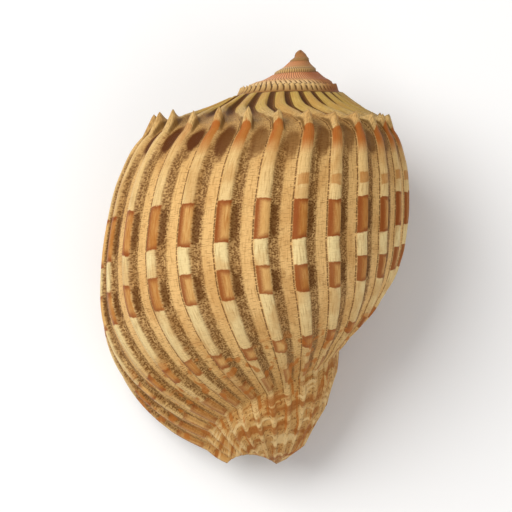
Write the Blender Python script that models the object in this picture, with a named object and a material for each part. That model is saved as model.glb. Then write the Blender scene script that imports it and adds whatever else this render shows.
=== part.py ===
"""A harp shell, the close-ribbed kind, lying on its mouth with its back up and its spire towards +Y.

The shell is one grown piece. A single outline, the edge of the mouth, turns about the coiling axis while
it grows, from the apex to the outer lip, and every rib is a former lip. The wall is closed round the
hollow of the last whorl, and the siphon notch is cut through the lower end.
Lengths are in millimetres until the last step, which sets the object in metres.
"""

import math
from collections import namedtuple

import bmesh
import bpy
import numpy as np
from mathutils import Matrix, Vector

Place = namedtuple("Place", "name radius depth radius_growth depth_growth lead rise sink")

SUTURE_RADIUS, SUTURE_DEPTH = 12.6, 11.1
SPIRE_RADIUS_GROWTH, SPIRE_DEPTH_GROWTH = 2.37, 1.87

# The outline of the mouth, with what each place of it does as the shell grows. Radius is taken from the
# axis and depth down from the apex, both at the lip. The two growths are per whorl. Lead is how far a rib
# runs ahead there, in rib spacings. Rise and sink are a rib's crest above the outline and a furrow below.
OUTLINE = (
    Place("suture", SUTURE_RADIUS, SUTURE_DEPTH, SPIRE_RADIUS_GROWTH, SPIRE_DEPTH_GROWTH, 1.0, 0.3, 0.3),
    Place("ramp", 18.9, 15.3, SPIRE_RADIUS_GROWTH, SPIRE_DEPTH_GROWTH, 0.62, 1.1, 0.2),
    Place("spine", 23.9, 17.5, SPIRE_RADIUS_GROWTH, SPIRE_DEPTH_GROWTH, 0.25, 1.3, 0.1),
    Place("shoulder", 27.4, 19.0, SPIRE_RADIUS_GROWTH, SPIRE_DEPTH_GROWTH, 0.0, 1.0, 0.3),
    Place("next suture", SUTURE_RADIUS * SPIRE_RADIUS_GROWTH, SUTURE_DEPTH * SPIRE_DEPTH_GROWTH,
          SPIRE_RADIUS_GROWTH, SPIRE_DEPTH_GROWTH, 0.0, 0.6, 0.4),
    Place("upper wall", 33.6, 28.1, 2.35, 1.92, 0.12, 0.5, 0.5),
    Place("high waist", 35.4, 38.0, 2.33, 2.01, 0.16, 0.5, 0.5),
    Place("widest", 35.8, 47.5, 2.33, 2.08, 0.12, 0.5, 0.5),
    Place("lower wall", 34.7, 57.5, 2.33, 2.14, -0.1, 0.5, 0.5),
    Place("base", 29.6, 67.6, 2.2, 2.14, -0.5, 0.5, 0.5),
    Place("under", 20.4, 75.5, 1.83, 2.05, -1.0, 0.5, 0.4),
    Place("groove", 12.8, 79.0, 1.25, 1.91, -1.45, 0.3, 0.3),
    Place("fasciole", 10.4, 80.0, 1.155, 1.7, -1.6, 0.5, 0.4),
    Place("low fasciole", 8.0, 80.2, 1.05, 1.42, -1.7, 0.5, 0.4),
    Place("toe", 5.2, 79.9, 1.05, 1.154, -1.75, 0.3, 0.2),
    Place("toe ring", 2.4, 79.2, 1.0, 1.05, -1.75, 0.0, 0.0),
    Place("tip", 0.0, 78.7, 1.0, 1.0, -1.75, 0.0, 0.0),
)
PLACE_NAMES = [place.name for place in OUTLINE]
EXTRA_ROWS_AFTER = ("widest", "lower wall", "base", "under")   # the rounded base has a row more between places
SPINE_HEIGHTS = {"ramp": 0.3, "spine": 1.6, "shoulder": 0.3}   # a crest's points stand up towards the apex

RIBS = 29                  # in one whorl
WHORLS = 4.3               # from the apex to the lip
RIBBED_WHORLS = 2          # the younger ones are smooth
RIBS_BEGIN, RIBS_WHOLE = -2.1, -1.9    # whorls before the lip
BORN_WHORLS = 0.35         # the shell swells from a point over this much of its first whorl
YOUNG_WALL = 4.9           # the young whorls show this much more of their wall, at the lip's size
YOUNG_FROM, YOUNG_FULLY = -1.9, -2.3   # whorls before the lip
LIP_ANGLE = 208.0          # where the lip stands round the axis, in degrees from +X over the back
REAR_FOOT, REAR_CREST, FRONT_CREST, FRONT_FOOT = 0.5, 0.58, 0.78, 0.9   # a rib's section, in rib spacings

WALL = 1.5                 # the wall's thickness
LIP_FLARE = 0.5            # how far the last rib stands out past the others
LIP_FLARES_FROM = 1.2      # rib spacings before the lip
LIP_ROUND = 0.12           # how far forward the rim's middle stands, in rib spacings
RIM_SHARE = 0.45           # how deep in the wall the rim's middle is
HOLLOW_RIBS = 22           # how far back the hollow goes, in rib spacings
HOLLOW_STEP = 2            # rib spacings between the rings of the hollow

# The last ribs bend forward under the shell, so that the lip reaches further there, in rib spacings
LIP_REACH = {"ramp": 0.06, "spine": 0.14, "shoulder": 0.22, "next suture": 0.28, "upper wall": 0.36,
             "high waist": 0.36, "widest": 0.26, "widest middle": 0.18, "lower wall": 0.1}
LIP_BENDS_FROM = 2.5       # rib spacings before the lip

# The glaze beside the mouth fills the furrows, and is thickest in a pad at the mouth's upper end. Angles
# are degrees of growth before the lip.
GLAZE_STARTS, GLAZE_FULL = -300.0, -326.0
GLAZE_PAD = {"next suture": 0.3, "upper wall": 0.8, "high waist": 0.6, "widest": 0.3, "lower wall": 0.3,
             "base": 0.5, "under": 1.2, "groove": 2.2, "fasciole": 2.8, "low fasciole": 2.8, "toe": 1.6,
             "toe ring": 0.3}
PAD_STARTS, PAD_WHOLE, PAD_THINS, PAD_ENDS = -262.0, -300.0, -370.0, -420.0

FASCIOLE_SWELL = {"groove": 0.3, "fasciole": 2.1, "low fasciole": 2.2, "toe": 0.8}
FASCIOLE_BEGINS, FASCIOLE_WHOLE = -30.0, -110.0    # degrees of growth before the lip
FASCIOLE_FADES, FASCIOLE_GONE = -270.0, -345.0

TOE_LEAN = 1.3             # the lower end stands this far to the right of the axis
TOE_LEAN_STARTS, TOE_LEAN_ENDS = 60.0, 78.0

NOTCH_ACROSS, NOTCH_DEPTH, NOTCH_RADIUS = -2.6, 82.6, 6.0
NOTCH_LENGTH, NOTCH_SIDES = 40.0, 40

REST_ROLL, REST_PITCH = 10.0, 12.4   # degrees about Y, then about X, that lay the shell on its mouth
WORN = 0.35                # worn off the places that it rests on
FLOOR_BLOCK = 200.0

MM = 0.001
MERGE = 0.01
SHARP_ANGLE = 35.0
SHELL_COLOUR = (0.64, 0.42, 0.24, 1.0)
SHELL_ROUGHNESS = 0.42

CLOSE = 1e-6
SUTURE_ROW = PLACE_NAMES.index("next suture")

# Columns are counted in rib spacings of growth, and the lip is the front of a crest
LIP = FRONT_CREST
START = LIP - WHORLS * RIBS
RIBBED_START = LIP - RIBBED_WHORLS * RIBS
# from a place on the next-suture row to the place of the suture row that lies on it
TURN = RIBS + OUTLINE[SUTURE_ROW].lead - OUTLINE[0].lead


def smooth_step(start, end, value):
    share = min(max((value - start) / (end - start), 0.0), 1.0)
    return share * share * (3.0 - 2.0 * share)


def outline_rows():
    """The rows of the wall: the outline's places, and the extra ones on a smooth curve between them."""
    numbers = np.array([place[1:] for place in OUTLINE])
    chords = np.hypot(*np.diff(numbers[:, :2], axis=0).T)
    knots = np.concatenate(([0.0], np.cumsum(chords)))
    slopes = np.gradient(numbers, knots, axis=0)
    rows = []
    for index, place in enumerate(OUTLINE):
        rows.append(place)
        if place.name in EXTRA_ROWS_AFTER:
            width = knots[index + 1] - knots[index]
            bulge = (slopes[index] - slopes[index + 1]) * width / 8.0
            middle = (numbers[index] + numbers[index + 1]) / 2.0 + bulge
            rows.append(Place(place.name + " middle", *middle))
    return rows


ROWS = outline_rows()
LAST_ROW = len(ROWS) - 1


def outward(row):
    """The direction out of the wall at a row, as (radius, depth)."""
    before, after = ROWS[max(row - 1, 0)], ROWS[min(row + 1, LAST_ROW)]
    run, fall = after.radius - before.radius, after.depth - before.depth
    length = math.hypot(run, fall)
    return fall / length, -run / length


def on_crest(rib):
    phase = rib % 1.0
    return REAR_CREST - CLOSE < phase < FRONT_CREST + CLOSE


def wall_point(rib, row, inset=0.0, straight=0.0):
    """A point of the wall with its apex at the origin, its spire to +Y and its back to +Z.

    rib counts rib spacings of growth up to the lip, whose value is FRONT_CREST. An inset point lies on the
    lining, which has no ribs. With straight at 1, the points of a column stand in one plane with the axis.
    """
    place = ROWS[row]
    crest = on_crest(rib)
    rib += LIP_REACH.get(place.name, 0.0) * smooth_step(LIP - LIP_BENDS_FROM, LIP, rib)
    whorls = (rib - LIP + place.lead * (1.0 - straight)) / RIBS
    growth = whorls * 360.0
    size = SPIRE_RADIUS_GROWTH ** whorls
    ribbed = size * smooth_step(RIBS_BEGIN, RIBS_WHOLE, whorls)
    if row > SUTURE_ROW:
        ribbed *= 1.0 - smooth_step(GLAZE_STARTS, GLAZE_FULL, growth)

    out, up = -inset, 0.0
    if inset == 0.0:
        out += LIP_FLARE * smooth_step(LIP - LIP_FLARES_FROM, LIP, rib) * smooth_step(0, 2, row)
        if crest:
            out += place.rise * ribbed
            up = SPINE_HEIGHTS.get(place.name, 0.0) * ribbed
        else:
            out -= place.sink * ribbed

    fasciole = smooth_step(FASCIOLE_BEGINS, FASCIOLE_WHOLE, growth)
    fasciole *= 1.0 - smooth_step(FASCIOLE_FADES, FASCIOLE_GONE, growth)
    pad = smooth_step(PAD_STARTS, PAD_WHOLE, growth) * (1.0 - smooth_step(PAD_THINS, PAD_ENDS, growth))
    swell = FASCIOLE_SWELL.get(place.name, 0.0) * fasciole + GLAZE_PAD.get(place.name, 0.0) * pad

    across, down = outward(row)
    born = smooth_step(-WHORLS, -WHORLS + BORN_WHORLS, (rib - LIP) / RIBS)
    radius = (place.radius * place.radius_growth ** whorls + across * out + swell) * born
    below = YOUNG_WALL * smooth_step(YOUNG_FROM, YOUNG_FULLY, whorls) if row == SUTURE_ROW else 0.0
    depth = ((place.depth + below) * place.depth_growth ** whorls + down * out - up) * born
    if row == LAST_ROW:
        radius = 0.0
    angle = math.radians(LIP_ANGLE + growth)
    lean = TOE_LEAN * smooth_step(TOE_LEAN_STARTS, TOE_LEAN_ENDS, depth)
    return Vector((radius * math.cos(angle) + lean, -depth, radius * math.sin(angle)))


def columns():
    """The columns of the wall from the apex to the lip: one to a rib while it is smooth, then four."""
    smooth = []
    rib = RIBBED_START - 1.0
    while rib > START + 0.5:
        smooth.append(rib)
        rib -= 1.0
    smooth.append(START)
    found = sorted(smooth)
    for whole in range(math.floor(RIBBED_START) - 1, math.ceil(LIP) + 1):
        for phase in (REAR_FOOT, REAR_CREST, FRONT_CREST, FRONT_FOOT):
            if RIBBED_START - CLOSE < whole + phase < LIP + CLOSE:
                found.append(whole + phase)
    return found


class Wall:
    """The shell's faces. A corner that several parts of the wall share is made once, under its key."""

    def __init__(self):
        self.mesh = bmesh.new()
        self.made = {}

    def corner(self, key, point):
        if key not in self.made:
            self.made[key] = self.mesh.verts.new(point)
        return self.made[key]

    def outer(self, rib, row):
        """A corner of the outer wall. A suture corner is the next-suture corner of the whorl before it."""
        if row == LAST_ROW:
            return self.corner("tip", wall_point(rib, row))
        if row == 0:
            return self.outer(rib - TURN, SUTURE_ROW)
        if rib < START + 0.5:
            return self.corner("apex", Vector((0.0, 0.0, 0.0)))
        return self.corner((round(rib, 3), row), wall_point(rib, row))

    def lining(self, rib, row):
        point = wall_point(rib, row, inset=WALL, straight=(LIP - rib) / HOLLOW_RIBS)
        return self.corner(("lining", rib, row), point)

    def before(self, rib, row):
        """The corner of the whorl before that is across the hollow from a lining corner."""
        row = max(row, SUTURE_ROW) + 1
        if rib == LIP:
            return self.outer(rib - TURN, row)
        straight = (LIP - rib) / HOLLOW_RIBS
        whorl_before = rib - TURN - straight * (RIBS - TURN)
        return self.corner(("before", rib, row), wall_point(whorl_before, row, straight=straight))

    def face(self, corners):
        ring = []
        for corner in corners:
            if corner not in ring:
                ring.append(corner)
        if len(ring) > 2:
            self.mesh.faces.new(ring)

    def strip(self, first, second):
        """Faces between two rows of corners of one length."""
        for index in range(len(first) - 1):
            self.face([first[index], first[index + 1], second[index + 1], second[index]])


def lay_outside(wall):
    """The spire, and the last whorl from the mouth right round to the lip."""
    every = columns()
    for older, newer in zip(every, every[1:]):
        for row in range(SUTURE_ROW - 1):
            wall.strip([wall.outer(older, row), wall.outer(newer, row)],
                       [wall.outer(older, row + 1), wall.outer(newer, row + 1)])
        # The whorl below may have more columns, whose corners lie on this whorl's lower edge
        between = [rib - TURN for rib in every if older + TURN + CLOSE < rib < newer + TURN - CLOSE]
        edge = [wall.outer(rib, SUTURE_ROW) for rib in (older, *between, newer)]
        wall.face([wall.outer(newer, SUTURE_ROW - 1), wall.outer(older, SUTURE_ROW - 1), *edge])
        if older > LIP - TURN - CLOSE:
            wall.strip([wall.outer(older, row) for row in range(SUTURE_ROW, LAST_ROW + 1)],
                       [wall.outer(newer, row) for row in range(SUTURE_ROW, LAST_ROW + 1)])


def hollow_ring(wall, rib):
    """The ring of corners round the hollow at one rib: down the lining and back up the whorl before."""
    lining = [wall.lining(rib, row) for row in range(1, LAST_ROW - 1)]
    whorl_before = [wall.before(rib, row) for row in range(LAST_ROW - 2, SUTURE_ROW - 1, -1)]
    return lining + whorl_before


def lay_hollow(wall):
    rings = [hollow_ring(wall, LIP - rib) for rib in range(0, HOLLOW_RIBS + 1, HOLLOW_STEP)]
    for ring, deeper in zip(rings, rings[1:]):
        wall.strip(ring + ring[:1], deeper + deeper[:1])
    wall.face(rings[-1])


def lay_rim(wall):
    """The rounded edge of the mouth, from the outer wall over the rim to the lining."""
    outside = [wall.outer(LIP, row) for row in range(LAST_ROW + 1)]
    upper_corner = wall.before(LIP, SUTURE_ROW)
    lower_corner = wall.before(LIP, LAST_ROW - 2)
    inside = [wall.lining(LIP, row) for row in range(1, LAST_ROW - 1)]
    rim = []
    for row in range(1, LAST_ROW - 1):
        point = wall_point(LIP + LIP_ROUND, row, inset=WALL * RIM_SHARE)
        rim.append(wall.corner(("rim", row), point))
    wall.strip(outside[1:-2], rim)
    wall.strip(rim, inside)
    wall.face([outside[1], outside[0], upper_corner, inside[0], rim[0]])
    wall.face([rim[-1], inside[-1], lower_corner, outside[-1], outside[-2], outside[-3]])


def new_object(name, mesh_data):
    mesh = bpy.data.meshes.new(name)
    bmesh.ops.recalc_face_normals(mesh_data, faces=mesh_data.faces)
    mesh_data.to_mesh(mesh)
    mesh_data.free()
    made = bpy.data.objects.new(name, mesh)
    bpy.context.scene.collection.objects.link(made)
    return made


def hide_cutter(cutter):
    cutter.display_type = "WIRE"
    cutter.hide_render = True


def make_shell():
    wall = Wall()
    lay_outside(wall)
    lay_hollow(wall)
    lay_rim(wall)
    return new_object("shell", wall.mesh)


def make_notch():
    """The round bar that cuts the siphon notch, looking at the back of the shell."""
    bar = bmesh.new()
    place = Matrix.Translation((NOTCH_ACROSS, -NOTCH_DEPTH, 0.0))
    bmesh.ops.create_cone(bar, cap_ends=True, segments=NOTCH_SIDES, radius1=NOTCH_RADIUS,
                          radius2=NOTCH_RADIUS, depth=NOTCH_LENGTH, matrix=place)
    cutter = new_object("notch bar", bar)
    hide_cutter(cutter)
    return cutter


def make_floor_block():
    """The block that wears the shell flat where it rests. Its top is at zero."""
    block = bmesh.new()
    place = Matrix.Translation((0.0, 0.0, -FLOOR_BLOCK / 2.0))
    bmesh.ops.create_cube(block, size=FLOOR_BLOCK, matrix=place)
    cutter = new_object("floor block", block)
    hide_cutter(cutter)
    return cutter


def cut(target, cutter):
    boolean = target.modifiers.new(cutter.name, "BOOLEAN")
    boolean.operation = "DIFFERENCE"
    boolean.solver = "EXACT"
    boolean.object = cutter
    bpy.context.view_layer.update()
    evaluated = target.evaluated_get(bpy.context.evaluated_depsgraph_get())
    whole = bpy.data.meshes.new_from_object(evaluated)
    target.modifiers.remove(boolean)
    target.data = whole


def lay_down(shell):
    """Turns the shell as it rests, and sinks its lowest places into the floor by what is worn off them."""
    turn = Matrix.Rotation(math.radians(REST_PITCH), 4, "X") @ Matrix.Rotation(math.radians(REST_ROLL), 4, "Y")
    shell.data.transform(turn)
    lowest = min(vertex.co.z for vertex in shell.data.vertices)
    shell.data.transform(Matrix.Translation((0.0, 0.0, -lowest - WORN)))


def centre_and_scale(shell):
    corners = np.array([vertex.co for vertex in shell.data.vertices])
    middle = (corners.min(axis=0) + corners.max(axis=0)) / 2.0
    shell.data.transform(Matrix.Translation((-middle[0], -middle[1], 0.0)))
    shell.data.transform(Matrix.Scale(MM, 4))


def finish(shell):
    tidy = bmesh.new()
    tidy.from_mesh(shell.data)
    bmesh.ops.remove_doubles(tidy, verts=tidy.verts, dist=MERGE * MM)
    tidy.to_mesh(shell.data)
    tidy.free()
    shell.data.shade_smooth()
    shell.data.set_sharp_from_angle(angle=math.radians(SHARP_ANGLE))
    material = bpy.data.materials.new("shell")
    material.use_nodes = True
    surface = material.node_tree.nodes["Principled BSDF"]
    surface.inputs["Base Color"].default_value = SHELL_COLOUR
    surface.inputs["Roughness"].default_value = SHELL_ROUGHNESS
    surface.inputs["Metallic"].default_value = 0.0
    shell.data.materials.clear()
    shell.data.materials.append(material)


for old in list(bpy.data.objects):
    bpy.data.objects.remove(old)

shell = make_shell()
cut(shell, make_notch())
lay_down(shell)
cut(shell, make_floor_block())
centre_and_scale(shell)
finish(shell)
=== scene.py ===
"""A harp shell lying on its mouth, seen from above its back, on a pale floor."""

import math
from collections import namedtuple

import bmesh
import bpy
import numpy as np
from mathutils import Matrix, Vector


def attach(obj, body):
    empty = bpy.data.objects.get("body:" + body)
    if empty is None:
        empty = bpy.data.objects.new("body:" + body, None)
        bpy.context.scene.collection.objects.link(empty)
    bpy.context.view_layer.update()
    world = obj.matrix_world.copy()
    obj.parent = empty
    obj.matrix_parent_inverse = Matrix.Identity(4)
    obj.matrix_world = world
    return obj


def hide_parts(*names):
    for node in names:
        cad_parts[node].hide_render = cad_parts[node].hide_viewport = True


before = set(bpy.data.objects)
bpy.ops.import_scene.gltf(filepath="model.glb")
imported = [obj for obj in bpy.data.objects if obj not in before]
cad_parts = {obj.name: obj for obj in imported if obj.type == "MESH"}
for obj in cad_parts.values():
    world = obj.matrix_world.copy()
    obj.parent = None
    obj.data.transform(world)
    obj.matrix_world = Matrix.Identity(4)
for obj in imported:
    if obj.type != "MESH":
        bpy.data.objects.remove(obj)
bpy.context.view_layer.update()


# The outline of the mouth
# Calcium carbonate laid down by the animal, all of it along the edge of its mouth. The shell keeps that
# edge's outline as it grows, so the outline, with how fast each place of it grows, gives the whole shell.

Place = namedtuple("Place", "name radius depth radius_growth depth_growth lead rise sink "
                            "reach pad swell lamella rows")

SUTURE_RADIUS, SUTURE_DEPTH = 12.6, 11.1
SPIRE_RADIUS_GROWTH, SPIRE_DEPTH_GROWTH = 2.37, 1.87

# In millimetres: radius from the coiling axis and depth below the apex, at the lip. The growths are per
# whorl. Lead and reach are how far a rib runs ahead, in rib spacings, all along and only at the lip. Rise
# is how far a crest stands above the outline, and sink how far a furrow lies below it. Pad and swell
# thicken the glaze beside the mouth and the ridge round the lower end. At the suture sink and pad are
# below zero, so that nothing inside shows through the furrows. Lamella is how far a rib is broad and
# leaf-like. Rows is how many rows of points there are from one place to the next.
OUTLINE = (
    Place("suture", SUTURE_RADIUS, SUTURE_DEPTH, SPIRE_RADIUS_GROWTH, SPIRE_DEPTH_GROWTH,
          2.0, 0.4, -0.2, 0.0, 0.0, 0.0, 1.0, 8),
    Place("ramp", 18.9, 15.3, SPIRE_RADIUS_GROWTH, SPIRE_DEPTH_GROWTH,
          1.4, 1.2, 0.2, 0.06, 0.0, 0.0, 1.0, 12),
    Place("spine", 23.9, 17.5, SPIRE_RADIUS_GROWTH, SPIRE_DEPTH_GROWTH,
          0.6, 1.4, 0.1, 0.14, 0.0, 0.0, 0.7, 9),
    Place("shoulder", 27.4, 19.0, SPIRE_RADIUS_GROWTH, SPIRE_DEPTH_GROWTH,
          0.12, 1.1, 0.3, 0.22, 0.0, 0.0, 0.2, 7),
    Place("next suture", SUTURE_RADIUS * SPIRE_RADIUS_GROWTH, SUTURE_DEPTH * SPIRE_DEPTH_GROWTH,
          SPIRE_RADIUS_GROWTH, SPIRE_DEPTH_GROWTH, 0.0, 0.6, 0.4, 0.28, -0.2, 0.0, 0.0, 10),
    Place("upper wall", 33.6, 28.1, 2.35, 1.92, 0.12, 0.5, 0.5, 0.36, 0.8, 0.0, 0.0, 12),
    Place("high waist", 35.4, 38.0, 2.33, 2.01, 0.16, 0.5, 0.5, 0.36, 0.6, 0.0, 0.0, 11),
    Place("widest", 35.8, 47.5, 2.33, 2.08, 0.12, 0.5, 0.5, 0.26, 0.3, 0.0, 0.0, 12),
    Place("lower wall", 34.7, 57.5, 2.33, 2.14, -0.1, 0.5, 0.5, 0.1, 0.3, 0.0, 0.0, 14),
    Place("base", 29.6, 67.6, 2.2, 2.14, -0.5, 0.5, 0.5, 0.0, 0.5, 0.0, 0.0, 15),
    Place("under", 20.4, 75.5, 1.83, 2.05, -1.0, 0.5, 0.4, 0.0, 1.2, 0.0, 0.0, 12),
    Place("groove", 12.8, 79.0, 1.25, 1.91, -1.45, 0.3, 0.3, 0.0, 2.2, 0.3, 0.0, 5),
    Place("fasciole", 10.4, 80.0, 1.155, 1.7, -1.6, 0.5, 0.4, 0.0, 2.8, 2.1, 0.0, 4),
    Place("low fasciole", 8.0, 80.2, 1.05, 1.42, -1.7, 0.5, 0.4, 0.0, 2.8, 2.2, 0.0, 5),
    Place("toe", 5.2, 79.9, 1.05, 1.154, -1.75, 0.3, 0.2, 0.0, 1.6, 0.8, 0.0, 4),
    Place("toe ring", 2.4, 79.2, 1.0, 1.05, -1.75, 0.0, 0.0, 0.0, 0.3, 0.0, 0.0, 3),
    Place("tip", 0.0, 78.7, 1.0, 1.0, -1.75, 0.0, 0.0, 0.0, 0.0, 0.0, 0.0, 0),
)

# Peaks on the outline: how high, how far down it, and how long to each side
SPINE = (2.8, 17.4, 2.6)                     # a rib's point at the shoulder
YOUNG_SPINE = (3.0, 16.6, 2.6)               # the same on the spire
SCALLOP = (0.8, 12.0, 2.8)                   # a row of low swellings above the spire's points
YOUNG_BULGE = (1.7, 9.5, 8.5)                # the spire's whorls are rounder
PEAK_SHARPNESS = 1.2

place_numbers = np.array([place[1:] for place in OUTLINE])
place_chords = np.hypot(*np.diff(place_numbers[:, :2], axis=0).T)
place_alongs = np.concatenate(([0.0], np.cumsum(place_chords)))
along_of = {place.name: along for place, along in zip(OUTLINE, place_alongs)}


def smooth_curve(alongs, knots, values):
    """A curve through the values, smooth at every knot."""
    slopes = np.gradient(values, knots)
    index = np.clip(np.searchsorted(knots, alongs, side="right") - 1, 0, len(knots) - 2)
    width = knots[index + 1] - knots[index]
    share = (alongs - knots[index]) / width
    start = values[index] * (1 + 2 * share) + slopes[index] * width * share
    end = values[index + 1] * (3 - 2 * share) - slopes[index + 1] * width * (1 - share)
    return start * (1 - share) ** 2 + end * share ** 2


row_alongs = np.concatenate([
    np.linspace(start, end, place.rows, endpoint=False)
    for place, start, end in zip(OUTLINE, place_alongs, place_alongs[1:])] + [place_alongs[-1:]])
LAST_ROW = len(row_alongs) - 1
SUTURE_ROW = int(np.searchsorted(row_alongs, along_of["next suture"] - 0.001))


def along_rows(field):
    """What a field of the places is at every row."""
    values = place_numbers[:, Place._fields.index(field) - 1]
    if field in ("radius", "depth"):
        return smooth_curve(row_alongs, place_alongs, values)
    return np.interp(row_alongs, place_alongs, values)


row_radius, row_depth = along_rows("radius"), along_rows("depth")


def row_peak(height, top, length):
    """A peak on the outline, so high at its top and so long to each side."""
    return height * np.clip(1 - abs(row_alongs - top) / length, 0, 1) ** PEAK_SHARPNESS


row_spine = row_peak(*SPINE)
row_flare = np.clip(row_alongs / along_of["spine"], 0, 1)
row_young = np.clip((row_alongs - along_of["shoulder"])
                    / (along_of["next suture"] - along_of["shoulder"]), 0, 1)
row_below = np.arange(LAST_ROW + 1) > SUTURE_ROW

tangents = np.stack([np.gradient(row_radius), np.gradient(row_depth)], axis=1)
tangents /= np.linalg.norm(tangents, axis=1)[:, None]
row_out = np.stack([tangents[:, 1], -tangents[:, 0], row_flare], axis=1)
row_out[LAST_ROW] = 0.0        # the tip is on the axis, so it has no outward side


def guide(name, points, vectors):
    """An object whose points and vectors a node tree reads by number. It never shows."""
    mesh = bpy.data.meshes.new(name)
    mesh.from_pydata([Vector(point) for point in points], [], [])
    for label, rows in vectors.items():
        made = mesh.attributes.new(label, "FLOAT_VECTOR", "POINT")
        made.data.foreach_set("vector", np.array(rows, float).ravel())
    made = bpy.data.objects.new(name, mesh)
    bpy.context.scene.collection.objects.link(made)
    return made


mouth_outline = guide("mouth_outline", np.stack([row_radius, row_depth, row_alongs], axis=1), {
    "outward": row_out,
    "growths": np.stack([along_rows(name) for name in ("radius_growth", "depth_growth", "lead")], axis=1),
    "relief": np.stack([along_rows("rise"), along_rows("sink"), row_spine], axis=1),
    "swelling": np.stack([along_rows("pad"), along_rows("swell"), row_young], axis=1),
    "edges": np.stack([along_rows("reach"), row_below, along_rows("lamella")], axis=1),
    "spire": np.stack([row_peak(*YOUNG_SPINE), row_peak(*SCALLOP), row_peak(*YOUNG_BULGE)], axis=1),
})


# The ribs
# Each rib is a former lip, left standing as the shell grew on past it. It is steep behind, towards the
# older ribs, and slopes away in front. On the ramp over the shoulder it is broad, like a leaf.

RIBS = 29                  # in one whorl
TURN = 27                  # ribs from the inner edge of the mouth round to the lip
WHORLS = 4.3
FRONT_CREST = 0.78
LIP = FRONT_CREST          # ribs are counted from the lip back, so older ones are below zero

# In rib spacings: where the columns of points stand across one rib, and its height from place to place
RIB_COLUMNS = (0.0, 0.2, 0.37, 0.47, 0.53, 0.58, 0.67, FRONT_CREST, 0.86, 0.93)
RIB_SECTION = ((0.0, 0.03), (0.2, 0.0), (0.37, 0.02), (0.47, 0.14), (0.53, 0.72), (0.58, 0.97),
               (0.67, 1.0), (0.78, 0.9), (0.86, 0.42), (0.93, 0.13), (1.0, 0.03))
LAMELLA_SECTION = ((0.0, 0.42), (0.2, 0.1), (0.32, 0.03), (0.4, 0.5), (0.47, 0.9), (0.53, 1.0),
                   (0.67, 0.97), (0.78, 0.86), (0.9, 0.64), (1.0, 0.42))
SPINE_SECTION = ((0.0, 0.0), (0.47, 0.0), (0.53, 0.3), (0.58, 0.66), (0.67, 1.0), (0.78, 0.62), (0.86, 0.2),
                 (0.93, 0.0), (1.0, 0.0))
YOUNG_RIBS, YOUNG_RIBS_END = -30.0, -27.0    # before these the points are small and twice as many
UNEVEN, UNEVEN_SEED = 0.12, 4                # how much one rib's height differs from another's

one_rib = guide("one_rib", [(column, 0.0, 0.0) for column in RIB_COLUMNS], {})


# The wall
# One layer of shell about a millimetre and a half thick, curled round its axis. This tree works out where
# a point of it stands, from how far along the growth it is and which row of the outline it is on.

RIBS_BEGIN, RIBS_WHOLE = -2.1, -1.9     # whorls before the lip; the younger ones are smooth
WALL = 1.5
BORN_WHORLS = 0.35         # the shell swells from a point over this much of its first whorl
BORN_LEAST = 0.06          # what is smaller than this share of its whorl is drawn together at the apex
YOUNG_WALL = 4.9           # the young whorls show this much more of their wall, at the lip's size
TIP_SWELL = 0.38           # the tip is rounder than the coil alone would make it
TIP_SWELL_ENDS, TIP_SWELL_WHOLE = -3.0, -3.8
TIP_DEPTH = 0.55           # where the very tip is
YOUNG_FROM, YOUNG_FULLY = -1.9, -2.3
LIP_ANGLE = 208.0          # where the lip stands round the axis, in degrees from the right over the back
LIP_FLARE, LIP_FLARES_FROM = 0.5, 1.2
LIP_BENDS_FROM = 2.5       # rib spacings before the lip
SPREAD = 1.2               # ribs stand wider apart on the back, and this far back at the most
TOE_LEAN, TOE_LEAN_STARTS, TOE_LEAN_ENDS = 1.3, 60.0, 78.0       # to the right, between two depths

# In degrees of growth, below zero before the lip: the glaze, its pad and the ridge round the lower end
GLAZE_STARTS, GLAZE_FULL = -300.0, -326.0
PAD_STARTS, PAD_WHOLE, PAD_THINS, PAD_ENDS = -262.0, -300.0, -370.0, -420.0
FASCIOLE_BEGINS, FASCIOLE_WHOLE = -30.0, -110.0
FASCIOLE_FADES, FASCIOLE_GONE = -270.0, -345.0


class Field:
    """A number worked out in a node tree. Arithmetic on it adds the nodes that do it."""

    def __init__(self, socket):
        self.socket = socket
        self.nodes = socket.id_data.nodes

    def math(self, operation, *others):
        node = self.nodes.new("ShaderNodeMath")
        node.operation = operation
        for value, socket in zip((self, *others), node.inputs):
            connect(value, socket)
        return Field(node.outputs[0])

    def __add__(self, other):
        return self.math("ADD", other)

    def __sub__(self, other):
        return self.math("SUBTRACT", other)

    def __mul__(self, other):
        return self.math("MULTIPLY", other)

    def __truediv__(self, other):
        return self.math("DIVIDE", other)

    def __pow__(self, other):
        return self.math("POWER", other)

    def __rsub__(self, other):
        return self.math("MULTIPLY_ADD", -1.0, other)     # other - self

    __radd__ = __add__
    __rmul__ = __mul__

    def step(self, start, end):
        """0 at start, 1 at end and smooth between."""
        node = self.nodes.new("ShaderNodeMapRange")
        node.interpolation_type = "SMOOTHSTEP"
        connect(self, node.inputs["Value"])
        connect(start, node.inputs["From Min"])
        connect(end, node.inputs["From Max"])
        return Field(node.outputs["Result"])

    def curve(self, points):
        """The height over this place of a curve through the points."""
        node = self.nodes.new("ShaderNodeFloatCurve")
        line = node.mapping.curves[0]
        for _ in range(len(points) - 2):
            line.points.new(0.5, 0.5)
        for (place, height), point in zip(points, line.points):
            point.location = (place, height)
        node.mapping.update()
        connect(self, node.inputs["Value"])
        return Field(node.outputs["Value"])

    def choose(self, when_zero, when_one):
        return when_zero + (when_one - when_zero) * self


def port(sockets, name):
    """The socket of that name that is in use."""
    return next(socket for socket in sockets if socket.name == name and socket.enabled)


def connect(value, socket):
    """Gives a socket a field, another socket's value, or a plain number."""
    if isinstance(value, Field):
        value = value.socket
    if isinstance(value, bpy.types.NodeSocket):
        socket.id_data.links.new(value, socket)
    else:
        socket.default_value = value


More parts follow.
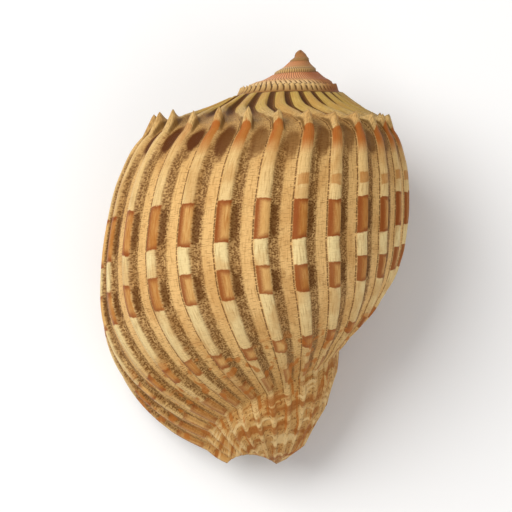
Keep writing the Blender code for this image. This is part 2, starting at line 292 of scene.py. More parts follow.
def add_node(tree, kind, settings=None, **inputs):
    """A node with its settings, and its inputs by name with spaces as underscores."""
    node = tree.nodes.new(kind)
    for name, value in (settings or {}).items():
        setattr(node, name, value)
    for name, value in inputs.items():
        connect(value, port(node.inputs, name.replace("_", " ")))
    return node


def parts_of(vector):
    tree = vector.id_data
    node = add_node(tree, "ShaderNodeSeparateXYZ", Vector=vector)
    return [Field(socket) for socket in node.outputs]


def vector_of(tree, x, y, z):
    return add_node(tree, "ShaderNodeCombineXYZ", X=x, Y=y, Z=z).outputs["Vector"]


def new_tree(name, sockets_in, sockets_out):
    """A geometry node tree with named inputs and outputs, and its group input and output nodes."""
    tree = bpy.data.node_groups.new(name, "GeometryNodeTree")
    for label, kind in sockets_in:
        tree.interface.new_socket(name=label, in_out="INPUT", socket_type="NodeSocket" + kind)
    for label, kind in sockets_out:
        tree.interface.new_socket(name=label, in_out="OUTPUT", socket_type="NodeSocket" + kind)
    return tree, tree.nodes.new("NodeGroupInput"), tree.nodes.new("NodeGroupOutput")


def read_guide(tree, geometry, name, index):
    """The three parts of a guide's vector at a point number."""
    if name == "Position":
        value = add_node(tree, "GeometryNodeInputPosition").outputs["Position"]
    else:
        value = add_node(tree, "GeometryNodeInputNamedAttribute", {"data_type": "FLOAT_VECTOR"},
                         Name=name).outputs["Attribute"]
    sample = add_node(tree, "GeometryNodeSampleIndex", {"data_type": "FLOAT_VECTOR"},
                      Geometry=geometry, Value=value, Index=index)
    return parts_of(sample.outputs["Value"])


def make_wall_tree():
    """Where a point of the wall stands, how far down the outline it is, and how glazed."""
    tree, given, result = new_tree(
        "Wall point",
        (("Rib", "Float"), ("Row", "Int"), ("Inset", "Float"), ("Straight", "Float"),
         ("Outline", "Geometry")),
        (("Place", "Vector"), ("Along", "Float"), ("Glaze", "Float")))
    row, outline = given.outputs["Row"], given.outputs["Outline"]
    nominal_rib, inset, straight = (Field(given.outputs[name]) for name in ("Rib", "Inset", "Straight"))
    radius, depth, along = read_guide(tree, outline, "Position", row)
    across, down, flare = read_guide(tree, outline, "outward", row)
    radius_growth, depth_growth, lead = read_guide(tree, outline, "growths", row)
    rise, sink, spine = read_guide(tree, outline, "relief", row)
    pad, swell, young = read_guide(tree, outline, "swelling", row)
    reach, below_suture, lamella = read_guide(tree, outline, "edges", row)
    young_spine, scallop, bulge = read_guide(tree, outline, "spire", row)

    round_whorl = ((nominal_rib - LIP) * (2.0 * math.pi / TURN)).math("COSINE")
    spread = (round_whorl - 1.0) * (SPREAD / 2.0)
    rib = nominal_rib + spread + reach * nominal_rib.step(LIP - LIP_BENDS_FROM, LIP)
    whorls = (rib - LIP + lead * (1.0 - straight)) / RIBS
    growth = whorls * 360.0
    glazed = below_suture * growth.step(GLAZE_STARTS, GLAZE_FULL)
    size = whorls.math("MULTIPLY", math.log(SPIRE_RADIUS_GROWTH)).math("EXPONENT")
    ribbed = whorls.step(RIBS_BEGIN, RIBS_WHOLE) * size * (1.0 - glazed)

    phase = nominal_rib.math("FRACT")
    whole = nominal_rib.math("FLOOR")
    luck = add_node(tree, "FunctionNodeRandomValue", {"data_type": "FLOAT"},
                    Min=1.0 - UNEVEN, Max=1.0 + UNEVEN, ID=whole, Seed=UNEVEN_SEED)
    height = lamella.choose(phase.curve(RIB_SECTION), phase.curve(LAMELLA_SECTION))
    uneven = Field(port(luck.outputs, "Value"))
    in_spire = nominal_rib.step(YOUNG_RIBS_END, YOUNG_RIBS)
    small_wave = 0.5 - (nominal_rib * (4.0 * math.pi)).math("COSINE") * 0.5
    outside = 1.0 - inset / WALL
    relief = in_spire.choose((rise + sink) * height * uneven - sink, bulge + scallop * small_wave) * ribbed
    flared = LIP_FLARE * flare * nominal_rib.step(LIP - LIP_FLARES_FROM, LIP)
    out = outside * (relief + flared) - inset
    point = phase.curve(SPINE_SECTION) * uneven
    up = outside * in_spire.choose(spine * point, young_spine * small_wave) * ribbed

    fasciole = growth.step(FASCIOLE_BEGINS, FASCIOLE_WHOLE)
    fasciole = fasciole * (1.0 - growth.step(FASCIOLE_FADES, FASCIOLE_GONE))
    padded = growth.step(PAD_STARTS, PAD_WHOLE) * (1.0 - growth.step(PAD_THINS, PAD_ENDS))
    born = ((rib - LIP) / RIBS).step(-WHORLS, -WHORLS + BORN_WHORLS)
    born = born * born.math("GREATER_THAN", BORN_LEAST)
    lower = young * YOUNG_WALL * whorls.step(YOUNG_FROM, YOUNG_FULLY)
    radius = radius * radius_growth ** whorls + across * out + swell * fasciole + pad * padded
    radius = (radius + TIP_SWELL * whorls.step(TIP_SWELL_ENDS, TIP_SWELL_WHOLE)) * born.math("SQRT")
    depth = (depth + lower) * depth_growth ** whorls + down * out - up - TIP_DEPTH
    depth = depth * born + TIP_DEPTH
    angle = (growth + LIP_ANGLE).math("RADIANS")
    lean = TOE_LEAN * depth.step(TOE_LEAN_STARTS, TOE_LEAN_ENDS)
    place = vector_of(tree, radius * angle.math("COSINE") + lean, depth * -1.0,
                      radius * angle.math("SINE"))
    connect(place, result.inputs["Place"])
    connect(along, result.inputs["Along"])
    connect(1.0 - outside * (1.0 - glazed), result.inputs["Glaze"])
    return tree


wall_tree = make_wall_tree()


# The colours
# The animal laid its pigments down with the wall: cream and tan, crossed by broken brown and orange bands
# that mark every rib, with brown stipple behind the ribs and a clear glaze round the mouth.

RIB_MM = 7.6               # from one rib to the next, at the widest place
RIB_MIDDLE, GAP_MIDDLE = 0.68, 0.2           # where on its spacing a rib's crest is, and the gap's middle
RIB_BACK, RIB_FRONT = -0.16, 0.21            # from its crest to where its colour ends, in rib spacings
LEAF_BACK, LEAF_FRONT = -0.27, 0.39          # the same on the ramp
YOUNG_COLOURS = (-29.5, -27.0)               # ribs over which the spire's colours end

# How far down the outline things are painted, in millimetres
LEAVES_END, LEAVES_WHOLE = 14.0, 9.0
BASE_STARTS, BASE_WHOLE = 66.0, 76.0
STRIP, SMALL_MARK = (19.0, 26.5), (31.0, 33.6)
BLOTCH_MIDDLE, BLOTCH_HALF = 20.5, 3.3
BAND_ONE, BAND_TWO = (37.0, 46.4), (52.4, 59.4)
STIPPLED_ONE, STIPPLED_TWO = (37.5, 46.0), (53.0, 59.0)
SPOT_ONE, SPOT_TWO = (71.8, 76.0), (82.5, 88.5)
STRIPES_START, STRIPES_WHOLE = 88.5, 91.0
OUTLINE_END = 105.0

# The ground colour at each distance down the outline, on the ribs and between them. Between the ribs it is
# darkest over the first ten millimetres, on the ramp, where it is painted shadow in the gaps between the
# leaves
RIB_GROUND = ((0, (0.54, 0.37, 0.1)), (9, (0.57, 0.39, 0.12)), (13, (0.6, 0.42, 0.18)),
              (18, (0.67, 0.46, 0.2)), (30, (0.69, 0.48, 0.22)), (48, (0.75, 0.6, 0.32)),
              (66, (0.73, 0.56, 0.29)), (76, (0.66, 0.46, 0.21)), (90, (0.67, 0.46, 0.21)),
              (100, (0.6, 0.4, 0.18)))
GAP_GROUND = ((0, (0.3, 0.14, 0.03)), (10, (0.34, 0.17, 0.05)), (15, (0.52, 0.33, 0.13)),
              (24, (0.64, 0.41, 0.17)), (34, (0.72, 0.47, 0.2)), (62, (0.74, 0.49, 0.22)),
              (76, (0.68, 0.45, 0.19)), (90, (0.6, 0.37, 0.14)), (100, (0.5, 0.3, 0.12)))
YOUNG_GROUND = ((0, (0.72, 0.34, 0.16)), (7, (0.78, 0.42, 0.22)), (10, (0.7, 0.42, 0.2)),
                (13, (0.74, 0.53, 0.28)), (17, (0.66, 0.45, 0.2)), (20, (0.3, 0.14, 0.04)))

STROKE_DARK, STROKE_LIGHT = (0.34, 0.18, 0.05), (0.86, 0.66, 0.36)
TAN_PATCH, HATCHING = (0.52, 0.28, 0.09), (0.22, 0.1, 0.025)
FOOT_LINE, SUTURE_LINE = (0.14, 0.06, 0.015), (0.13, 0.05, 0.012)
# Brown stipple, partly the shell's pattern and partly painted shadow behind the ribs
STIPPLE_AND_SHADOW = (0.15, 0.06, 0.01)
BAND_LIGHT, BAND_ORANGE, BAND_EDGE = (0.66, 0.4, 0.15), (0.45, 0.19, 0.04), (0.29, 0.075, 0.009)
ORANGE, BLOTCH, BASE_SPOT = (0.42, 0.13, 0.018), (0.13, 0.04, 0.002), (0.46, 0.17, 0.03)
LEAF_OUTLINE, LEAF_GAP_SHADOW = (0.15, 0.07, 0.012), (0.12, 0.045, 0.008)
STRIPE_DARK, STRIPE_LIGHT = (0.36, 0.13, 0.025), (0.76, 0.57, 0.3)
YOUNG_LINE, YOUNG_OUTLINE = (0.34, 0.12, 0.04), (0.14, 0.06, 0.015)
YOUNG_SHADE_RED, APEX_BROWN = (0.34, 0.1, 0.025), (0.36, 0.19, 0.07)
GLAZE_CREAM, GLAZE_PINK, CHESTNUT = (0.82, 0.66, 0.45), (0.72, 0.44, 0.24), (0.09, 0.024, 0.007)

DEPTH_OF_COLOUR = 1.2      # above 1 makes every colour deeper
WALL_ROUGHNESS, GLAZE_ROUGHNESS = 0.5, 0.22
SPECULAR = 0.09
FINE_RELIEF, FINE_RELIEF_DEPTH = 0.55, 0.0003

shell_material = bpy.data.materials.new("shell_wall")
shell_material.use_nodes = True
paints = shell_material.node_tree
growth_mark = add_node(paints, "ShaderNodeAttribute", {"attribute_name": "growth"})
rib_number, down, glaze = parts_of(growth_mark.outputs["Vector"])
over_ribs = rib_number * RIB_MM

beside = (rib_number + (0.5 - RIB_MIDDLE)).math("FRACT") - 0.5        # below zero behind a rib's crest
own_rib = (rib_number + (0.5 - RIB_MIDDLE)).math("FLOOR")
in_gap = (rib_number + (0.5 - GAP_MIDDLE)).math("FRACT") - 0.5
own_gap = (rib_number + (0.5 - GAP_MIDDLE)).math("FLOOR")


def chances(number):
    """Three numbers from 0 to 1 that belong to a rib or a gap."""
    node = add_node(paints, "ShaderNodeTexWhiteNoise", {"noise_dimensions": "1D"}, W=number)
    return parts_of(node.outputs["Color"])


luck_one, luck_two, luck_three = chances(own_rib)
gap_luck, gap_width, gap_strength = chances(own_gap)


def cloud(across, along, detail=2.0, seed=0.0):
    """Noise with so many features to a millimetre across the ribs and along them."""
    place = vector_of(paints, over_ribs * across, down * along, seed)
    return Field(add_node(paints, "ShaderNodeTexNoise", Vector=place, Scale=1.0, Detail=detail,
                          Roughness=0.55).outputs["Fac"])


def within(value, start, end, soft):
    """1 between start and end, with soft edges."""
    return value.step(start - soft, start + soft) * value.step(end + soft, end - soft)


def paint(under, over, cover):
    """One colour laid over another, as thickly as cover says."""
    under, over = ((*colour, 1.0) if isinstance(colour, tuple) else colour for colour in (under, over))
    mixed = add_node(paints, "ShaderNodeMix", {"data_type": "RGBA"}, Factor=cover, A=under, B=over)
    return port(mixed.outputs, "Result")


def ground(stops):
    """The colour at this distance down the outline."""
    node = add_node(paints, "ShaderNodeValToRGB", Fac=down / OUTLINE_END)
    line = node.color_ramp.elements
    for _ in range(len(stops) - 2):
        line.new(0.5)
    for (distance, colour), stop in zip(stops, line):
        stop.position = distance / OUTLINE_END
        stop.color = (*colour, 1.0)
    return node.outputs["Color"]


# The grounds, with growth lines along the ribs and hatching across them
wobble = cloud(0.35, 0.35) - 0.5
grain = cloud(2.6, 2.6, 3.0, 3.0)
strokes = cloud(3.2, 0.3, 3.0, 5.0)
fine_strokes = cloud(9.0, 0.6, 1.0, 7.0)
hatch = cloud(0.7, 4.5, 2.0, 9.0)
patches = cloud(0.14, 0.1, 3.0, 17.0)
on_leaves = down.step(LEAVES_END, LEAVES_WHOLE)
on_base = down.step(BASE_STARTS, BASE_WHOLE)
on_rib = within(beside, on_leaves.choose(RIB_BACK, LEAF_BACK),
                on_leaves.choose(RIB_FRONT, LEAF_FRONT), 0.035)

colour = paint(ground(GAP_GROUND), ground(RIB_GROUND), on_rib)
colour = paint(colour, STROKE_DARK, strokes.step(0.5, 0.7) * 0.45)
colour = paint(colour, STROKE_LIGHT, strokes.step(0.46, 0.3) * 0.3 * on_rib)
colour = paint(colour, TAN_PATCH, patches.step(0.46, 0.64) * (0.45 + on_base * 0.2))
colour = paint(colour, HATCHING, hatch.step(0.53, 0.66) * ((1.0 - on_rib * 0.7) * 0.5 + on_base * 0.4))


def rib_mark(colour, span, half_width, inks, strength=1.0, middle=0.03):
    """A painted oblong on each rib, dark at its edges except behind."""
    top, bottom = span
    side = (beside - middle) * RIB_MM
    height = (down - (top + bottom) / 2.0 + luck_one * 1.2 - 0.6 + wobble * 1.6).math("ABSOLUTE")
    over = height - (bottom - top) / 2.0
    edge = over.math("MAXIMUM", side.math("ABSOLUTE") - half_width) + (grain - 0.5) * 0.5
    drawn = (over - 0.35).math("MAXIMUM", side - half_width) + (grain - 0.5) * 0.7 + (luck_two - 0.5) * 0.5
    light, middling, dark = inks
    ink = paint(light, middling, (strokes * 0.8 + luck_three * 0.5).step(0.35, 0.9))
    ink = paint(ink, dark, drawn.step(-2.0, -0.5) * 0.95)
    return paint(colour, ink, edge.step(0.18, -0.18) * strength)


# The brown stipple behind each rib is partly the shell's own pattern and partly painted shadow cast by the
# rib's steep back; it is heaviest where the bands cross it
band_one = within(down + wobble * 2.0, *STIPPLED_ONE, 1.2)
band_two = within(down + wobble * 2.0, *STIPPLED_TWO, 1.0)
in_bands = (band_one + band_two).math("MINIMUM", 1.0)
dots = add_node(paints, "ShaderNodeTexVoronoi", {"feature": "F1"},
                Vector=vector_of(paints, over_ribs * 2.4, down * 2.9, 0.0), Scale=1.0)
dotted = Field(dots.outputs["Distance"]).step(0.66, 0.34)
behind = within(beside, -0.42, -0.15, 0.05) * down.step(20.0, 28.0) * down.step(92.0, 84.0)
beside_mark = within(beside, -0.36, -0.17, 0.04) * in_bands
# soft_shade is painted shadow on the steep back of each rib, darkest in the bands
soft_shade = (behind * 0.5 * strokes.step(0.2, 0.55)).math("MAXIMUM", beside_mark * 0.85)
colour = paint(colour, STIPPLE_AND_SHADOW, soft_shade)
colour = paint(colour, STIPPLE_AND_SHADOW, behind * dotted * (0.75 + in_bands * 0.25))
colour = paint(colour, STIPPLE_AND_SHADOW, within(down, 11.0, 21.0, 3.0) * dotted * 0.28)

# Blotches between the ribs under the shoulder, darkest on the lip's side, and orange strips on the ribs
lip_side = rib_number.step(-7.5, -5.0)
blotch_down = (down - BLOTCH_MIDDLE - gap_luck * 3.0 + wobble * 3.0) / (BLOTCH_HALF + gap_width * 1.8)
blotch_side = in_gap / 0.27
blotch = (blotch_down ** 2.0 + blotch_side ** 2.0).math("SQRT") + (grain - 0.5) * 0.5 + wobble * 0.5
blotch_cover = (0.6 + lip_side * 0.4).math("MAXIMUM", gap_strength * 0.9)
colour = paint(colour, BLOTCH, blotch.step(1.25, 0.65) * blotch_cover)
colour = rib_mark(colour, STRIP, 1.35, (BAND_ORANGE, ORANGE, ORANGE),
                  rib_number.step(-3.5, -5.5) * down.step(27.0, 22.0) * 0.9)
colour = rib_mark(colour, SMALL_MARK, 1.2, (BAND_LIGHT, BAND_ORANGE, BAND_ORANGE),
                  rib_number.step(-6.5, -9.0) * luck_three.step(0.2, 0.5) * 0.7)

# The two broad bands, and the rows of small spots below them
inks = (BAND_LIGHT, BAND_ORANGE, BAND_EDGE)
for span, half_width, strength, middle in ((BAND_ONE, 1.5, 0.95, 0.03), (BAND_TWO, 1.4, 0.9, 0.03),
                                           (SPOT_ONE, 1.45, 0.85, 0.03), (SPOT_TWO, 1.3, 0.6, -0.1)):
    colour = rib_mark(colour, span, half_width, inks, strength, middle)
colour = paint(colour, BASE_SPOT, cloud(0.32, 0.3, 1.0, 19.0).step(0.57, 0.66) * on_base * 0.75)

# A broken dark line along the front foot of each rib
foot = within(beside, 0.235, 0.275, 0.02) * cloud(1.0, 2.4, 1.0, 11.0).step(0.34, 0.5)
colour = paint(colour, FOOT_LINE, foot * 0.9 * down.step(12.0, 17.0) * down.step(95.0, 90.0))

# The leaves on the ramp and the points below them have dark edges, and the gaps between leaves are darkened
# with painted shadow
leaf_edge = within(beside, 0.34, 0.41, 0.02) + within(beside, -0.32, -0.25, 0.02)
colour = paint(colour, LEAF_OUTLINE, leaf_edge * on_leaves * 0.9)
# Painted shadow: the gap behind each leaf is darkened where the leaf shades it
colour = paint(colour, LEAF_GAP_SHADOW, within(in_gap, -0.1, 0.2, 0.06) * on_leaves * 0.9)
point_edge = within(beside, -0.21, -0.15, 0.02) + within(beside, 0.16, 0.22, 0.02)
colour = paint(colour, LEAF_OUTLINE, point_edge * within(down, 15.0, 20.0, 1.0) * 0.75)

# Lengthwise stripes round the thick lower end
stripe = cloud(0.05, 0.9, 2.0, 13.0)
striped = down.step(STRIPES_START, STRIPES_WHOLE)
colour = paint(colour, STRIPE_DARK, stripe.step(0.5, 0.62) * striped * 0.8)
colour = paint(colour, STRIPE_LIGHT, stripe.step(0.46, 0.36) * striped * 0.7)

# A thin dark line in the suture, where each whorl meets the one before
colour = paint(colour, SUTURE_LINE, down.step(1.0, 0.3) * 0.85)

# The spire: pink and finely lined, with two rows of outlined points, a painted reddish shade down one side,
# and a brown tip
young = rib_number.step(YOUNG_COLOURS[1], YOUNG_COLOURS[0])
young_lines = (rib_number * 3.0).math("FRACT").math("PINGPONG", 0.5).step(0.32, 0.12)
young_colour = paint(ground(YOUNG_GROUND), YOUNG_LINE, young_lines * down.step(11.5, 9.5) * 0.75)
beside_point = (rib_number * 2.0).math("FRACT").math("PINGPONG", 0.5)
young_edges = beside_point.step(0.22, 0.08) * within(down, 11.0, 19.0, 0.6)
between_rows = within(down + beside_point * 2.0, 14.6, 15.3, 0.3)
young_edges = (young_edges + between_rows).math("MINIMUM", 1.0)
young_colour = paint(young_colour, YOUNG_OUTLINE, young_edges * 0.85)
# Painted shade: the side of the spire away from the light is tinted red
young_colour = paint(young_colour, YOUNG_SHADE_RED, within(rib_number, -46.0, -39.5, 1.5) * 0.7)
young_colour = paint(young_colour, APEX_BROWN, rib_number.step(-60.0, -75.0) * 0.7)
colour = paint(colour, young_colour, young)

# The glaze inside the mouth and over the wall beside it, stained chestnut in two places
glaze_colour = paint(GLAZE_CREAM, GLAZE_PINK, cloud(0.06, 0.09, 2.0, 15.0).step(0.4, 0.65) * 0.7)
callus = within(rib_number, -33.0, -22.0, 1.5)
stain = within(down + wobble * 9.0, 42.0, 68.0, 3.0) + within(down + wobble * 5.0, 84.0, 93.0, 2.0)
glaze_colour = paint(glaze_colour, CHESTNUT, stain.math("MINIMUM", 1.0) * callus * 0.85)
near_lip = rib_number.step(-1.6, 0.4) * in_bands
glaze_colour = paint(glaze_colour, BAND_ORANGE, near_lip * 0.6)
colour = paint(colour, glaze_colour, glaze)

colour = add_node(paints, "ShaderNodeGamma", Color=colour, Gamma=DEPTH_OF_COLOUR).outputs["Color"]
look = paints.nodes["Principled BSDF"]
connect(colour, look.inputs["Base Color"])
connect(glaze.choose(WALL_ROUGHNESS + (grain - 0.5) * 0.3, GLAZE_ROUGHNESS), look.inputs["Roughness"])
look.inputs["Specular IOR Level"].default_value = SPECULAR
relief_height = (strokes * 0.5 + fine_strokes * 0.3 + hatch * 0.35 + grain * 0.15) * (1.0 - glaze * 0.92)
fine_relief = add_node(paints, "ShaderNodeBump", Strength=FINE_RELIEF, Distance=FINE_RELIEF_DEPTH,
                       Height=relief_height)
connect(fine_relief.outputs["Normal"], look.inputs["Normal"])


# The grown shell
# The wall is laid as grids of points that share their edges: the spire, the last whorl, the hollow inside
# it, and the rounded edge of the mouth. They are merged into one closed skin.

START_WHOLE = -124         # the oldest whole rib, at the apex
LIP_ROUND = 0.12           # how far forward the middle of the mouth's edge stands, in rib spacings
RIM_STEPS = 4              # faces across the mouth's edge
HOLLOW_RIBS, HOLLOW_STEP = 22, 0.5
MERGE = 0.0008

per_rib = len(RIB_COLUMNS)
lip_column = -START_WHOLE * per_rib + RIB_COLUMNS.index(FRONT_CREST)
lining_rows = LAST_ROW - 2
ring_rows = lining_rows + LAST_ROW - 1 - SUTURE_ROW


def spire_place(column, row, rib_at):
    """The spire's first row is the edge of the whorl before, a turn back."""
    first = row.math("LESS_THAN", 0.5)
    rib = rib_at(column)
    return rib - TURN * first, row + SUTURE_ROW * first, 0.0, 0.0, rib, 1.0 - first


def whorl_place(column, row, rib_at):
    """The last whorl below the suture, from the inner edge of the mouth round to the lip."""
    rib = rib_at(column + (lip_column - TURN * per_rib))
    return rib, row + SUTURE_ROW, 0.0, 0.0, rib, 1.0


def hollow_place(column, row, rib_at):
    """Down the lining, back up the whorl before, and on to the first row again."""
    row = row.math("MODULO", ring_rows)
    back = column * HOLLOW_STEP
    straight = back / HOLLOW_RIBS
    lining = row.math("LESS_THAN", lining_rows - 0.5)
    rib = LIP - back - (1.0 - lining) * (TURN + straight * (RIBS - TURN))
    outline_row = lining.choose(LAST_ROW - 1 + lining_rows - row, row + 1.0)
    return rib, outline_row, WALL * lining, straight, rib, 1.0


def rim_place(column, row, rib_at):
    """Over the edge of the mouth. Its ends close onto the whorl before and onto the tip."""
    share = column / RIM_STEPS
    top, bottom = row.math("LESS_THAN", 0.5), row.math("GREATER_THAN", LAST_ROW - 1.5)
    inner, outer = share.math("GREATER_THAN", 0.99), share.math("LESS_THAN", 0.01)
    end = top + bottom
    forward = LIP_ROUND * (share * math.pi).math("SINE")
    far = (top + bottom * inner).math("MINIMUM", 1.0)
    rib = LIP + forward * (1.0 - end) - TURN * far
    bottom_row = LAST_ROW - inner - outer
    outline_row = top.choose(bottom.choose(row, bottom_row), SUTURE_ROW + inner)
    inset = WALL * (0.5 - 0.5 * (share * math.pi).math("COSINE")) * (1.0 - end)
    return rib, outline_row, inset, 0.0, LIP + forward, 1.0


def make_shell_tree():
    """Lays the grids and merges them."""
    tree, given, result = new_tree(
        "Grow the shell",
        (("Geometry", "Geometry"), ("Outline", "Object"), ("One rib", "Object"), ("Material", "Material")),
        (("Geometry", "Geometry"),))
    outline, rib_guide = (
        add_node(tree, "GeometryNodeObjectInfo", Object=given.outputs[name]).outputs["Geometry"]
        for name in ("Outline", "One rib"))
    index = Field(add_node(tree, "GeometryNodeInputIndex").outputs["Index"])

    def rib_at(column):
        whole = ((column + 0.5) / per_rib).math("FLOOR")
        phase = read_guide(tree, rib_guide, "Position", column - whole * per_rib)[0]
        return whole + START_WHOLE + phase

    grids = []
    for columns, rows, place_of in (
            (lip_column + 1, SUTURE_ROW + 1, spire_place),
            (TURN * per_rib + 1, LAST_ROW + 1 - SUTURE_ROW, whorl_place),
            (int(HOLLOW_RIBS / HOLLOW_STEP) + 1, ring_rows + 1, hollow_place),
            (RIM_STEPS + 1, LAST_ROW, rim_place)):
        grid = add_node(tree, "GeometryNodeMeshGrid", Vertices_X=columns, Vertices_Y=rows)
        column = ((index + 0.5) / rows).math("FLOOR")
        rib, row, inset, straight, shown_rib, shown = place_of(column, index - column * rows, rib_at)
        point = add_node(tree, "GeometryNodeGroup", {"node_tree": wall_tree}, Rib=rib, Row=row, Inset=inset,
                         Straight=straight, Outline=outline)
        along = Field(point.outputs["Along"]) * shown
        mark = vector_of(tree, shown_rib, along, point.outputs["Glaze"])
        mark = add_node(tree, "GeometryNodeFieldOnDomain", {"data_type": "FLOAT_VECTOR", "domain": "POINT"},
                        Value=mark).outputs["Value"]
        marked = add_node(tree, "GeometryNodeStoreNamedAttribute",
                          {"data_type": "FLOAT_VECTOR", "domain": "CORNER"},
                          Geometry=grid.outputs["Mesh"], Name="growth", Value=mark)
        placed = add_node(tree, "GeometryNodeSetPosition", Geometry=marked.outputs["Geometry"],
                          Position=point.outputs["Place"])
        grids.append(placed.outputs["Geometry"])

    joined = add_node(tree, "GeometryNodeJoinGeometry")
    for grid in grids:
        connect(grid, joined.inputs["Geometry"])
    merged = add_node(tree, "GeometryNodeMergeByDistance", Geometry=joined.outputs["Geometry"],
                      Distance=MERGE)
    smooth = add_node(tree, "GeometryNodeSetShadeSmooth", Geometry=merged.outputs["Geometry"])
    real = add_node(tree, "GeometryNodeRealizeInstances", Geometry=smooth.outputs["Geometry"])
    finished = add_node(tree, "GeometryNodeSetMaterial", Geometry=real.outputs["Geometry"],
                        Material=given.outputs["Material"])
    connect(finished.outputs["Geometry"], result.inputs["Geometry"])
    return tree


shell_tree = make_shell_tree()
seed = bpy.data.objects.new("shell_seed", bpy.data.meshes.new("shell_seed"))
bpy.context.scene.collection.objects.link(seed)
growing = seed.modifiers.new("grow", "NODES")
growing.node_group = shell_tree
given_things = {"Outline": mouth_outline, "One rib": one_rib, "Material": shell_material}
for socket in shell_tree.interface.items_tree:
    if socket.name in given_things:
        growing[socket.identifier] = given_things[socket.name]
bpy.context.view_layer.update()
grown = bpy.data.meshes.new_from_object(seed.evaluated_get(bpy.context.evaluated_depsgraph_get()))
seed.modifiers.remove(growing)
bpy.data.objects.remove(seed)

skin = bmesh.new()
skin.from_mesh(grown)

# Only the hollow's inner end is still open
open_edges = [edge for edge in skin.edges if len(edge.link_faces) == 1]
bmesh.ops.holes_fill(skin, edges=open_edges, sides=0)
bmesh.ops.recalc_face_normals(skin, faces=skin.faces)
skin.to_mesh(grown)
skin.free()

shell = bpy.data.objects.new("harp_shell", grown)
bpy.context.scene.collection.objects.link(shell)


# The siphon notch
# The animal kept this place open for its siphon, so the lower end of the shell has a round notch. Its edge
# is the same wall, glazed over. A round bar cuts it out.

NOTCH_ACROSS, NOTCH_DEPTH, NOTCH_RADIUS = -2.6, 82.6, 6.0
NOTCH_LENGTH, NOTCH_SIDES = 40.0, 96
NOTCH_GROWTH = (-2.0, 96.0, 1.0)             # rib, distance down the outline, and glaze of its edge

notch = bmesh.new()
bmesh.ops.create_cone(notch, cap_ends=True, segments=NOTCH_SIDES, radius1=NOTCH_RADIUS,
                      radius2=NOTCH_RADIUS, depth=NOTCH_LENGTH,
                      matrix=Matrix.Translation((NOTCH_ACROSS, -NOTCH_DEPTH, 0.0)))
notch_bar = bpy.data.objects.new("notch_bar", bpy.data.meshes.new("notch_bar"))
notch.to_mesh(notch_bar.data)
notch.free()
notch_bar.data.materials.append(shell_material)
notch_growth = notch_bar.data.attributes.new("growth", "FLOAT_VECTOR", "CORNER")
notch_growth.data.foreach_set("vector", NOTCH_GROWTH * len(notch_bar.data.loops))
bpy.context.scene.collection.objects.link(notch_bar)
cut = shell.modifiers.new("notch", "BOOLEAN")
cut.operation = "DIFFERENCE"
cut.solver = "MANIFOLD"
cut.object = notch_bar
bpy.context.view_layer.update()
notched = bpy.data.meshes.new_from_object(shell.evaluated_get(bpy.context.evaluated_depsgraph_get()))
shell.modifiers.remove(cut)
notched.materials.clear()
notched.materials.append(shell_material)
notched.polygons.foreach_set("material_index", [0] * len(notched.polygons))
shell.data = notched
bpy.data.objects.remove(notch_bar)


# How the shell lies
# Laid on its mouth by hand, it rests on the outer lip, the wall beside the mouth and its thick lower end,
# which are worn flat there.

REST_ROLL, REST_PITCH = 10.0, 12.4
REST_SHIFT = (6.123, 38.700, 24.258)
MM = 0.001

turn_down = (Matrix.Rotation(math.radians(REST_PITCH), 4, "X")
             @ Matrix.Rotation(math.radians(REST_ROLL), 4, "Y"))
lying = Matrix.Scale(MM, 4) @ Matrix.Translation(REST_SHIFT) @ turn_down
shell.data.transform(lying)
for point in shell.data.vertices:
    point.co.z = max(point.co.z, 0.0)        # the worn places are flat
shell.data.shade_smooth()

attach(shell, "root")
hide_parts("shell")
for helper in (mouth_outline, one_rib):
    bpy.data.objects.remove(helper)


# The floor
# A plain pale sheet of card, wide enough that its edges don't show. The shell lies on it and isn't fixed
# to it.

FLOOR_SIZE = 3.0
FLOOR_COLOUR = (0.82, 0.81, 0.79, 1.0)
FLOOR_ROUGHNESS = 0.8

sheet = bmesh.new()
bmesh.ops.create_grid(sheet, size=FLOOR_SIZE / 2.0)
floor = bpy.data.objects.new("floor", bpy.data.meshes.new("floor"))
sheet.to_mesh(floor.data)
sheet.free()
bpy.context.scene.collection.objects.link(floor)
floor_material = bpy.data.materials.new("floor")
floor_material.use_nodes = True
floor_look = floor_material.node_tree.nodes["Principled BSDF"]
floor_look.inputs["Base Color"].default_value = FLOOR_COLOUR
floor_look.inputs["Roughness"].default_value = FLOOR_ROUGHNESS
floor.data.materials.append(floor_material)


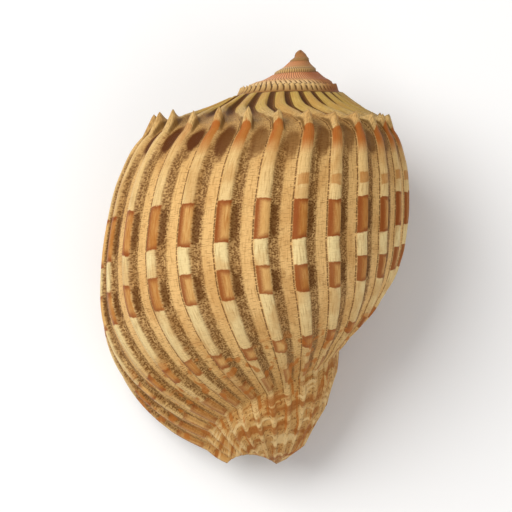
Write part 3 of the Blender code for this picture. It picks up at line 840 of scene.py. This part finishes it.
# The light
# A broad soft window high on the left, a weaker light low on the right, and a pale room round them. The
# colours are shown as they are, because a film-like curve would wash the browns out.

ROOM_COLOUR, ROOM_STRENGTH = (0.95, 0.96, 1.0, 1.0), 0.42
SHELL_MIDDLE = (0.0, 0.0, 0.02)


def add_light(name, place, size, watts):
    """A square light that faces the shell, its place and size in metres."""
    lamp = bpy.data.lights.new(name, "AREA")
    lamp.size = size
    lamp.energy = watts
    made = bpy.data.objects.new(name, lamp)
    made.location = place
    made.rotation_euler = (Vector(SHELL_MIDDLE) - Vector(place)).to_track_quat("-Z", "Y").to_euler()
    bpy.context.scene.collection.objects.link(made)


add_light("window", (-0.3, 0.12, 0.48), 0.5, 3.5)
add_light("fill", (0.3, -0.35, 0.4), 0.5, 1.3)
room = bpy.data.worlds.new("room")
room.use_nodes = True
walls = room.node_tree.nodes["Background"]
walls.inputs["Color"].default_value = ROOM_COLOUR
walls.inputs["Strength"].default_value = ROOM_STRENGTH
bpy.context.scene.world = room
bpy.context.scene.view_settings.view_transform = "Standard"


# The camera
# Above the shell's back, square to the plane of its axis, so that the spire points up and leans a little
# to the right. A long lens keeps the view nearly flat.

MM_PER_POINT = 0.1878                        # of the picture, which is 512 points wide
PICTURE_POINTS = 512
APEX_ACROSS, APEX_UP = 45.5, 209.0           # the apex from the picture's middle, in picture points
LEAN = 4.7
LENS = 150.0
SENSOR = 36.0

away = LENS * MM_PER_POINT * PICTURE_POINTS / SENSOR
leaning = Matrix.Rotation(math.radians(-LEAN), 4, "Z")
aim = leaning.inverted() @ Vector((-APEX_ACROSS * MM_PER_POINT, -APEX_UP * MM_PER_POINT, 0.0))
eye = bpy.data.cameras.new("camera")
eye.lens = LENS
eye.sensor_width = SENSOR
camera = bpy.data.objects.new("camera", eye)
bpy.context.scene.collection.objects.link(camera)
stand = turn_down @ Matrix.Translation(aim + Vector((0.0, 0.0, away))) @ leaning.inverted()
stand.translation += Vector(REST_SHIFT)
stand.translation *= MM
camera.matrix_world = stand
bpy.context.scene.camera = camera
